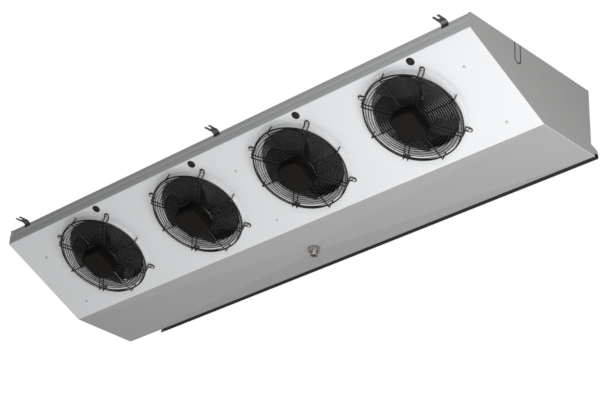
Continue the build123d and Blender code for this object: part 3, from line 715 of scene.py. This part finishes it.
def make_guard():
    """Every wire of one basket, in the fan's own frame."""
    upright = (0, 0, 1)
    parts = [tube(ring_path(r, ring_height), wire_radius, upright, sides=6, closed=True) for r in front_rings]
    parts.append(tube(ring_path(*rim), rim_radius, upright, sides=10, closed=True))
    parts += [single_leg(k * np.pi / 2) for k in range(4)]
    parts += [double_leg(np.pi / 4 + k * np.pi / 2) for k in range(4)]
    parts.append(turned([(plate_bore, plate_low), (plate_radius - 0.002, plate_low),
                         (plate_radius, plate_low + 0.0007), (plate_radius, plate_high - 0.0007),
                         (plate_radius - 0.002, plate_high), (plate_bore, plate_high),
                         (plate_bore, plate_low)], 64))
    return join(*parts)


guard_points, guard_faces = make_guard()
for number, (centre, out, _) in enumerate(fans, start=1):
    add_piece(f"guard_wires_{number}", from_fan(guard_points, centre, out), guard_faces, black_wire, "guard",
              nodes=[f"guard_{number}"])
print("guard", len(guard_faces), "faces")

# %% [markdown]
# Each motor is a boxy housing with soft corners in front of the guard. Its walls are one rounded
# rectangle, drawn smaller and smaller as the profile runs over the front edge: a point keeps its
# place round the outline and only moves inwards.

# %% Motors
motor_half = (0.044, 0.050)
motor_corner = 0.022
motor_back, motor_front = 0.0365, 0.074
motor_edge = 0.007
motor_seam, seam_depth = 0.054, 0.0006
lid_inset = 0.0215
boss_bore, boss_radius, boss_low = 0.0042, 0.0265, 0.0225
corner_points = 16


def rounded_rectangle(inset, count=corner_points):
    """The outline at an inset: the corners' centres stay, and their radius shrinks by the inset."""
    quarter, step = np.divmod(np.arange(4 * count), count)
    a = quarter * np.pi / 2 + step / (count - 1) * np.pi / 2
    cx = (motor_half[0] - motor_corner) * np.array([1, -1, -1, 1])[quarter]
    cy = (motor_half[1] - motor_corner) * np.array([1, 1, -1, -1])[quarter]
    r = motor_corner - inset
    return np.stack([cx + r * np.cos(a), cy + r * np.sin(a)], -1)


def make_motor():
    """(inset, height) rows: a seam groove halfway, the rounded front edge, then the flat front."""
    a = np.linspace(0, np.pi / 2, 7)
    rows = [(lid_inset, motor_back), (0.001, motor_back), (0.0, motor_back + 0.001),
            (0.0, motor_seam - seam_depth), (seam_depth, motor_seam), (0.0, motor_seam + seam_depth)]
    rows += [(motor_edge * (1 - math.cos(t)), motor_front - motor_edge * (1 - math.sin(t))) for t in a]
    rows.append((lid_inset, motor_front))
    count = 4 * corner_points
    outlines = [np.column_stack([rounded_rectangle(d), np.full(count, z)]) for d, z in rows]
    shell = np.concatenate(outlines), grid_faces(len(rows), count, wrap_columns=True)
    lids = []
    for row in (0, len(rows) - 1):
        line = outlines[row]
        middle = line.mean(0)
        t = np.linspace(0, 1, 5)[:, None, None]
        lid = ((1 - t) * line + t * middle).reshape(-1, 3)
        lids.append((lid, grid_faces(5, count, wrap_columns=True)))
    boss = turned([(boss_bore, boss_low), (boss_radius - 0.001, boss_low), (boss_radius, boss_low + 0.001),
                   (boss_radius, motor_back + 0.0001), (boss_bore, motor_back + 0.0001)], 48)
    return join(shell, *lids), boss


(motor_points, motor_faces), (boss_points, boss_faces) = make_motor()
for number, (centre, out, _) in enumerate(fans, start=1):
    points, faces = join((motor_points, motor_faces), (boss_points, boss_faces))
    add_piece(f"motor_housing_{number}", from_fan(points, centre, out), faces, motor_black, "motor",
              nodes=[f"motor_{number}"])
print("motor", len(motor_faces) + len(boss_faces), "faces")

# %% [markdown]
# The impeller has five sickle blades on a cup-shaped hub. A blade is a surface of two parameters:
# one runs from the hub to the tip, the other from the leading to the trailing edge. The chord turns
# less steeply towards the tip, and the whole blade sweeps forward, which keeps such fans quiet.

# %% Impellers
hub_radius = 0.040
tip_radius = 0.128
blade_count = 5
blade_wall = 0.0022
first_blade = math.radians(62)
span_points, chord_points = 17, 21


def blade_surface(first_angle):
    """Two skins and their rims.

    With u from hub to tip and v from -1 to 1 across the chord, the angle is
    first_angle + sweep(u) + v width(u) / 2, and the height is -pitch(u) v, plus a camber of 1 - v^2."""
    u = np.linspace(0, 1, span_points)[:, None]
    v = np.linspace(-1, 1, chord_points)[None, :]
    radius = hub_radius - 0.002 + (tip_radius - hub_radius + 0.002) * u
    width = math.radians(50) + math.radians(8) * np.sin(np.pi * u)
    sweep = math.radians(34) * u ** 1.6
    rounding = 1 - 0.30 * np.clip((u - 0.72) / 0.28, 0, 1) ** 2 * v ** 4
    angle = first_angle + sweep + rounding * v * width / 2
    rise = 0.019 + 0.002 * u
    height = -0.002 + rise * v * (1 - 0.15 * u) + 0.006 * (1 - v ** 2)
    wall = blade_wall * (1 - 0.75 * v ** 4) * (1 - 0.4 * u)
    skins = []
    for way in (1, -1):
        z = height + way * wall / 2
        skins.append(np.stack(np.broadcast_arrays(radius * np.cos(angle), radius * np.sin(angle), z), -1))
    upper, lower = skins
    rim = np.concatenate([upper, lower[:, ::-1]], axis=1)
    skin = rim.reshape(-1, 3), grid_faces(span_points, 2 * chord_points, wrap_columns=True)
    caps = []
    for row in (0, span_points - 1):
        caps.append((np.concatenate([upper[row], lower[row]]), grid_faces(2, chord_points)))
    return join(skin, *caps)


def make_impeller():
    """The hub cup, open to the motor, and the blades round it."""
    hub = turned([(0.0041, -0.024), (0.033, -0.024), (0.038, -0.0225), (0.040, -0.018), (0.040, 0.019),
                  (0.039, 0.020), (0.0375, 0.020), (0.036, 0.019), (0.036, -0.014), (0.0345, -0.016),
                  (0.0041, -0.016), (0.0041, -0.024)], 72)
    blades = [blade_surface(first_blade + k * 2 * np.pi / blade_count) for k in range(blade_count)]
    return join(hub, *blades)


impeller_points, impeller_faces = make_impeller()
for number, (centre, out, body) in enumerate(fans, start=1):
    add_piece(f"impeller_blades_{number}", from_fan(impeller_points, centre, out), impeller_faces,
              blade_black, "impeller", body=body, nodes=[f"impeller_{number}"])
print("impeller", len(impeller_faces), "faces")

# %% [markdown]
# Small turned parts finish the fan panel: a domed screw in each guard loop, smaller screws in three
# pairs, and a rubber grommet beside each fan.

# %% Screws and grommets
grommet_place = (0.100, 0.153)
panel_screw_x = (-0.905, 0.0, 0.905)
panel_screw_slants = (0.102, 0.312)
guard_screw, guard_screw_height, guard_screw_base = 0.0052, 0.0020, 0.0037
panel_screw, panel_screw_height = 0.0042, 0.0026
shank_radius = 0.002


def screw_head(radius, height, base=0.0):
    """A domed head above a low rim: z rises as the square root of 1 - (r / radius)^2."""
    r = np.linspace(1, 0, 7)
    dome = [(radius * s, base + 0.4 * height + 0.6 * height * math.sqrt(1 - s * s)) for s in r]
    return turned([(0.0, base), (radius, base)] + dome, 24)


def shank(radius, start, end):
    """A plain round shank between two heights."""
    return turned([(0.0, start), (radius, start), (radius, end), (0.0, end)], 16)


def make_guard_screws():
    """Sixteen screws: one in each loop of each guard."""
    spots = [turn_about_z([[loop_reach, 0, 0]], math.pi / 4 + k * math.pi / 2)[0] for k in range(4)]
    head = join(screw_head(guard_screw, guard_screw_height, guard_screw_base),
                shank(shank_radius, -0.006, guard_screw_base + 0.0002))
    return join(*[(from_fan(head[0] + spot, centre, out), head[1])
                  for centre, out, _ in fans for spot in spots])


def make_panel_screws():
    """Six screws in three pairs, at the baffles behind the panel."""
    head = join(screw_head(panel_screw, panel_screw_height), shank(shank_radius, -0.008, 0.0002))
    parts = []
    for x in panel_screw_x:
        for slant in panel_screw_slants:
            spot = (x, fan_slant - slant, 0.0)
            middle = fans[0][0] * (0, 1, 1)
            parts.append((from_fan(head[0] + spot, middle, fans[0][1]), head[1]))
    return join(*parts)


def make_grommets():
    """A closed grommet: a low dome outside, a groove for the sheet and a taper inside."""
    profile = rounded([(0.0, 0.0030), (0.006, 0.0034), (0.0095, 0.0040), (0.0130, 0.0012), (0.0130, 0.0),
                       (0.0105, 0.0), (0.0105, -0.0012), (0.0130, -0.0012), (0.006, -0.0035), (0.0, -0.0036)],
                      0.0008, steps=2)
    spun, faces = turned(profile, 40)
    spun = spun + (grommet_place[0], grommet_place[1], 0)
    return join(*[(from_fan(spun, centre, out), faces) for centre, out, _ in fans])


add_piece("guard_screw_heads", *make_guard_screws(), bright_zinc, "fastener", nodes=["guard_screws"])
add_piece("panel_screw_heads", *make_panel_screws(), bright_zinc, "fastener", nodes=["panel_screws"])
add_piece("rubber_grommets", *make_grommets(), black_rubber, "rubber", nodes=["cable_grommets"])
print(4 * len(fans), "guard screws,", len(panel_screw_x) * len(panel_screw_slants), "panel screws")

# %% [markdown]
# A hanger is a strip of thick sheet: a foot on the band, a slope up and outwards, and a level fork
# with an open slot for the ceiling stud. The strip is two lanes side by side. Each lane's inner
# edge follows the slot: it stays in the middle up to the slot's round end, opens out along the
# circle, and then runs straight to the tip.

# %% Hangers
hanger_width, hanger_sheet = 0.025, 0.002
hanger_x = 0.911
ceiling_gap = 0.004
hanger_foot, foot_gap, hanger_bend, hanger_reach = 0.012, 0.002, 0.012, 0.045
slot_half, slot_depth = 0.0045, 0.018


def make_hanger():
    """One hanger with its foot at y = 0, reaching towards +y, as a sheet that gets its wall later."""
    path = rounded([(hanger_sheet, -hanger_foot), (hanger_sheet, -foot_gap), (hanger_bend, ceiling_gap),
                    (hanger_reach, ceiling_gap)], 0.004, steps=6)
    root = hanger_reach - slot_depth + slot_half
    level = np.concatenate([root - slot_half * np.cos(np.linspace(0, np.pi / 2, 10)), [hanger_reach]])
    y = np.concatenate([path[:-1, 0], level])
    z = np.concatenate([path[:-1, 1], np.full(len(level), ceiling_gap)])
    inside = np.sqrt(np.clip(slot_half ** 2 - np.clip(root - y, 0, None) ** 2, 0, None))
    inside = np.where((y >= root - slot_half) & (z > 0), inside, 0.0)
    outside = hanger_width / 2
    lanes = []
    for way in (-1, 1):
        t = np.linspace(0, 1, 5)[None, :]
        x = way * (inside[:, None] + (outside - inside[:, None]) * t)
        lane = np.stack(np.broadcast_arrays(x, y[:, None], z[:, None]), -1).reshape(-1, 3)
        lanes.append((lane, grid_faces(len(y), 5)))
    return join(*lanes)


hanger_points, hanger_faces = make_hanger()
for row, start, way in (("front", band_set_back, -1), ("rear", casing_depth, 1)):
    for name, x in (("left", -hanger_x), ("middle", 0.0), ("right", hanger_x)):
        placed = hanger_points * (1, way, 1) + (x, start, 0)
        add_piece(f"hanger_strip_{row}_{name}", from_casing(placed), hanger_faces, zinc_plate, "hanger",
                  nodes=[f"hanger_{row}_{name}"], wall=hanger_sheet, bevel=0.0003, outward=(0.0, 0.0, 1.0))
print("hanger slots", round(2000 * slot_half, 1), "mm wide")

# %% [markdown]
# The outlet is a threaded nipple with a hexagon nut under the pan. The thread is a small wave on
# the radius that moves along as the angle turns, one pitch for each turn. The nut's six flats come
# from one formula: the radius is half the width across flats, divided by the cosine of the angle to
# the nearest flat, and limited by a cone at its lower face.

# %% Drain outlet
drain_low, drain_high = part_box("drain_nipple")
nut_low, nut_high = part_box("drain_nut")
drain_x = (drain_low.x + drain_high.x) / 2
drain_y = (drain_low.y + drain_high.y) / 2
nipple_radius, nipple_bore = 0.0130, 0.0090
thread_pitch, thread_depth = 0.0018, 0.0005
thread_low, thread_high = drain_low.z + 0.0008, nut_high.z - 0.001
nut_half, nut_bore = 0.0165, 0.0133
round_points = 96


def make_nipple():
    """Outside: r = radius + depth wave(z / pitch - a / turn). Inside: the plain bore."""
    a = np.arange(round_points) * 2 * np.pi / round_points
    z = np.linspace(thread_low, thread_high, 150)
    phase = (z[:, None] / thread_pitch - a[None, :] / (2 * np.pi)) % 1.0
    r = nipple_radius - thread_depth * np.abs(2 * phase - 1)
    outside = np.stack(np.broadcast_arrays(r * np.cos(a), r * np.sin(a), z[:, None]), -1).reshape(-1, 3)
    wall = outside, grid_faces(len(z), round_points, wrap_columns=True)
    start, end = outside[:round_points], outside[-round_points:]
    mouth = turned([(nipple_bore, thread_low), (nipple_bore, drain_low.z), (0.0112, drain_low.z),
                    (0.0122, drain_low.z + 0.0004)], round_points)
    ring = grid_faces(2, round_points, wrap_columns=True)
    lip = np.concatenate([mouth[0][-round_points:], start]), ring
    under, over = nut_high.z + 0.0027, nut_high.z + 0.0057
    collar = turned([(0.0128, thread_high), (0.0131, under), (0.0177, under), (0.0177, over),
                     (0.0132, over), (0.0132, drain_high.z), (nipple_bore, drain_high.z),
                     (nipple_bore, thread_low)], round_points)
    step = np.concatenate([end, collar[0][:round_points]]), ring
    points, faces = join(wall, mouth, lip, collar, step)
    return points + (drain_x, drain_y, 0), faces


def make_nut():
    """Flats with r = half width / cos(angle to the flat), limited by a cone at the lower face."""
    a = np.arange(round_points) * 2 * np.pi / round_points
    flats = nut_half / np.cos((a + np.pi / 6) % (np.pi / 3) - np.pi / 6)
    height = np.array([0.0, 0.0006, 0.0016, 0.006, 0.0118, 0.012])
    limit = nut_half + np.array([0.0002, 0.0010, 0.0030, 0.01, 0.01, 0.0028])
    r = np.minimum(flats[None, :], limit[:, None])
    z = nut_low.z + height[:, None]
    outside = np.stack(np.broadcast_arrays(r * np.cos(a), r * np.sin(a), z), -1)
    inner = np.stack(np.broadcast_arrays(nut_bore * np.cos(a), nut_bore * np.sin(a), z[[-1, 0]]), -1)
    points = np.concatenate([outside, inner])
    faces = grid_faces(len(points), round_points, wrap_rows=True, wrap_columns=True)
    return points.reshape(-1, 3) + (drain_x, drain_y, 0), faces


add_piece("threaded_nipple", *make_nipple(), plated_brass, "drain", nodes=["drain_nipple"])
add_piece("hexagon_nut", *make_nut(), plated_brass, "drain", nodes=["drain_nut"])
print("thread of", round((thread_high - thread_low) / thread_pitch, 1), "turns")

# %% [markdown]
# The coil is a pack of thin aluminium fins on copper tubes. Real fins are pressed in fine waves,
# which stiffens them. One fin is a strip of points whose x follows the wave, and the pack is the
# same array with a new x for each fin.

# %% Coil fins
coil_low, coil_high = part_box("coil_fins")
fin_spacing = 0.006
fin_wall = 0.00025
wave_height = 0.0009
fin_points = 15


def make_fins():
    """Each fin is a closed strip: x = place + wave(y) +- wall / 2, from front to back."""
    y = np.linspace(coil_low.y, coil_high.y, fin_points)
    wave = wave_height * (np.arange(fin_points) % 2)
    z = np.array([coil_low.z, coil_high.z])
    places = np.arange(coil_low.x + 0.001, coil_high.x - 0.001, fin_spacing)
    loop_x = np.concatenate([wave - fin_wall / 2, wave[::-1] + fin_wall / 2])
    loop_y = np.concatenate([y, y[::-1]])
    fin = np.stack(np.broadcast_arrays(loop_x[None, :], loop_y[None, :], z[:, None]), -1)
    loop = 2 * fin_points
    walls = grid_faces(2, loop, wrap_columns=True)
    n = np.arange(fin_points - 1)
    lids = [s + np.stack([n, n + 1, loop - 2 - n, loop - 1 - n], -1) for s in (0, loop)]
    fin_faces = np.concatenate([walls] + lids)
    points = (fin[None] + np.stack([places, 0 * places, 0 * places], -1)[:, None, None, :]).reshape(-1, 3)
    faces = (fin_faces[None] + 2 * loop * np.arange(len(places))[:, None, None]).reshape(-1, 4)
    return points, faces


fin_pack = add_piece("coil_fin_pack", *make_fins(), rolled_aluminium, "coil", nodes=["coil_fins"])
print("fin pack", len(fin_pack.data.polygons), "faces")

# %% [markdown]
# The tubes run through all fins and join at the ends in U-shaped bends. At the right the bends start
# with the top tube of each layer, at the left with the second one, so that all tubes of a layer make
# one long path.

# %% Coil tubes and bends
tube_rows, tubes_per_row = 3, 8
tube_pitch, row_pitch, tube_radius = 0.024, 0.030, 0.00475


def tube_place(layer, row):
    """Y and Z of one tube's axis: layers from front to back, rows from the top down."""
    y = (coil_low.y + coil_high.y) / 2 + (layer - (tube_rows - 1) / 2) * row_pitch
    z = (coil_low.z + coil_high.z) / 2 + ((tubes_per_row - 1) / 2 - row) * tube_pitch
    return y, z


def make_tubes():
    """Straight pipes along X through the whole pack."""
    parts = []
    for layer in range(tube_rows):
        for row in range(tubes_per_row):
            y, z = tube_place(layer, row)
            path = [(coil_low.x - 0.003, y, z), (0, y, z), (coil_high.x + 0.003, y, z)]
            parts.append(tube(path, tube_radius, (0, 0, 1), sides=16))
    return join(*parts)


def make_bends(side, first):
    """U bends between rows first and first + 1, and so on: a half circle with two straight ends."""
    face = coil_low.x - 0.002 if side < 0 else coil_high.x + 0.002
    a = np.linspace(np.pi / 2, -np.pi / 2, 13)
    parts = []
    for layer in range(tube_rows):
        for row in range(first, tubes_per_row - 1, 2):
            y, z = tube_place(layer, row)
            middle = z - tube_pitch / 2
            x = np.concatenate([[0.0], 0.008 + tube_pitch / 2 * np.cos(a), [0.0]])
            height = np.concatenate([[z], middle + tube_pitch / 2 * np.sin(a), [z - tube_pitch]])
            path = np.stack([face + side * x, np.full(15, y), height], -1)
            parts.append(tube(path, tube_radius, (0, 1, 0), sides=16))
            for end in (z, z - tube_pitch):
                collar = [(face, y, end), (face + side * 0.003, y, end), (face + side * 0.006, y, end)]
                parts.append(tube(collar, tube_radius + 0.0006, (0, 1, 0), sides=16))
    return join(*parts)


add_piece("coil_tubes", *make_tubes(), drawn_copper, "copper")
add_piece("u_bends_left", *make_bends(-1, 1), drawn_copper, "copper", nodes=["return_bends_left"])
add_piece("u_bends_right", *make_bends(1, 0), drawn_copper, "copper", nodes=["return_bends_right"])
print(tube_rows * tubes_per_row, "coil tubes")

# %% [markdown]
# At the left end the vapour leaves through an upright header, and the liquid comes in through a
# distributor with thin feed tubes. Both pipes end behind the rear cover with a plain stub.

# %% Header, distributor and stubs
suction_low, suction_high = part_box("suction_header")
liquid_low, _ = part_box("distributor")
header_radius, suction_radius, liquid_radius = 0.0175, 0.014, 0.00635
suction_drop, liquid_drop = 0.060, 0.130
swage_length, swage_step = 0.018, 0.0006
stub_end = suction_high.y
rear_face = from_casing([[0, casing_depth, 0]])[0, 1]


def make_stub(x, y, z, radius, sides):
    """A pipe along Y whose end behind the rear cover is wider, so that the next pipe slides in."""
    neck = [(x, y, z), (x, (y + rear_face) / 2, z), (x, rear_face, z)]
    end = [(x, rear_face, z), (x, rear_face + swage_length, z), (x, stub_end, z)]
    return [tube(neck, radius - swage_step, (0, 0, 1), sides=sides),
            tube(end, radius, (0, 0, 1), sides=sides)]


def make_suction():
    """The capped header, its branches to the coil and the stub with its wider free end."""
    x, y = suction_low.x + header_radius, suction_low.y + header_radius
    z = from_casing([[0, 0, -suction_drop]])[0, 2]
    low, high = suction_low.z, suction_high.z
    cap = [(0.0, low), (0.012, low + 0.0004), (header_radius, low + 0.004), (header_radius, high - 0.004),
           (0.012, high - 0.0004), (0.0, high)]
    header = turned(cap, 40)
    parts = [(header[0] + (x, y, 0), header[1])]
    for row in (0, tubes_per_row - 1):
        height = tube_place(2, row)[1]
        branch = [(x, y, height), (x + 0.03, y, height), (coil_low.x - 0.002, y, height)]
        parts.append(tube(branch, tube_radius, (0, 0, 1), sides=16))
    return join(*parts, *make_stub(x, y, z, suction_radius, 32))


def make_liquid():
    """The liquid stub, the distributor's body and two feed tubes bent once towards the coil."""
    y = liquid_low.y + 0.011
    x = liquid_low.x + 0.011
    z = from_casing([[0, 0, -liquid_drop]])[0, 2]
    body = turned([(0.0, z - 0.017), (0.007, z - 0.017), (0.011, z - 0.009), (0.011, z + 0.009),
                   (0.007, z + 0.017), (0.0, z + 0.017)], 32)
    parts = [(body[0] + (x, y, 0), body[1])]
    for row in (0, tubes_per_row - 1):
        height = tube_place(0, row)[1]
        path = rounded([(x, y, z), (x, y, height), (coil_low.x - 0.002, y, height)], 0.02, steps=10)
        parts.append(tube(path, 0.0024, (0, 1, 0), sides=12))
    return join(*parts, *make_stub(x, y, z, liquid_radius, 20))


add_piece("suction_pipes", *make_suction(), drawn_copper, "copper", nodes=["suction_header"])
add_piece("liquid_pipes", *make_liquid(), drawn_copper, "copper", nodes=["distributor"])
print("stubs stand out", round(1000 * (stub_end - rear_face)), "mm")

# %% [markdown]
# The cooler hangs free, as the photograph shows it against white. A floor lies far below, out of
# the photograph's view. The lamps hang too high to light it well, so it gives some light of its own.

# %% Floor
white = (1.0, 1.0, 1.0, 1.0)
floor_height = -13.5
floor_half = 30.0
floor_colour = (0.86, 0.86, 0.86, 1.0)
floor_glow = 0.28


def make_floor():
    """A pale square far below the cooler, under the camera too."""
    sides = np.array([[-1, -1], [1, -1], [1, 1], [-1, 1]]) * floor_half
    corners = np.column_stack([sides, np.full(4, floor_height)])
    mesh = make_mesh("floor", corners, np.array([[0, 1, 2, 3]]), outward=(0.0, 0.0, 1.0))
    floor = bpy.data.objects.new("floor", mesh)
    bpy.context.scene.collection.objects.link(floor)
    material = bpy.data.materials.new("pale floor")
    material.use_nodes = True
    feed_all(material.node_tree, material.node_tree.nodes["Principled BSDF"], {
        "Base Color": floor_colour,
        "Roughness": 0.8,
        "Emission Color": white,
        "Emission Strength": floor_glow,
    })
    mesh.materials.append(material)


make_floor()
print("floor", -floor_height, "m below the ceiling")

# %% [markdown]
# The world is white where the camera sees it, and a weak even grey where it lights the object. The
# Light Path node tells the two apart.

# %% World
ambient = 0.04


def make_world():
    """White where the camera looks, also through clear pieces, and a weak even light elsewhere."""
    world = bpy.data.worlds.new("studio")
    bpy.context.scene.world = world
    world.use_nodes = True
    tree = world.node_tree
    seen = tree.nodes.new("ShaderNodeLightPath").outputs
    looked = add_math(tree, "MAXIMUM", seen["Is Camera Ray"], seen["Is Transmission Ray"])
    strength = tree.nodes.new("ShaderNodeMapRange")
    feed_all(tree, strength, {"To Min": ambient, "To Max": 1.0, "Value": looked})
    feed_all(tree, tree.nodes["Background"], {"Color": white, "Strength": strength.outputs[0]})


make_world()
print("world strength", ambient, "for the object")

# %% [markdown]
# Five soft lamps from the front, from below and from the right give the underside the tones of the
# photograph: bright at the right, fading to the left, with the pan greyer than the slope. Their
# powers were first fitted to the photograph's tones and then trimmed. One more lamp above
# the rear shows the roof, the coil and the pipes, which the photograph doesn't.

# %% Lamps
def add_lamp(name, place, aim, size, power):
    """A square area lamp at a place, facing its aim."""
    data = bpy.data.lights.new(name, "AREA")
    data.shape, data.size, data.energy = "SQUARE", size, power
    lamp = bpy.data.objects.new(name, data)
    bpy.context.scene.collection.objects.link(lamp)
    lamp.location = place
    lamp.rotation_euler = (Vector(aim) - Vector(place)).to_track_quat("-Z", "Y").to_euler()
    lamp.visible_camera = False


add_lamp("lamp front right", (2.6, -2.8, -1.4), (0.6, -0.1, -0.1), 1.5, 47)
add_lamp("lamp below left", (-2.7, 0.3, -3.4), (0.2, -0.1, -0.1), 1.4, 8)
add_lamp("lamp below rear", (0.8, 2.6, -3.0), (0.2, 0.1, -0.1), 1.8, 16)
add_lamp("lamp below centre", (-0.75, -0.2, -3.0), (0.9, 0.0, -0.1), 0.9, 16)
add_lamp("lamp right end", (1.6, -0.2, -1.9), (1.0, -0.1, -0.1), 1.0, 18)
add_lamp("lamp above rear", (-0.6, 2.4, 3.4), (0.0, 0.0, 0.0), 2.4, 140)
bpy.context.scene.view_settings.view_transform = "Standard"
print("lamps", len(bpy.data.lights))
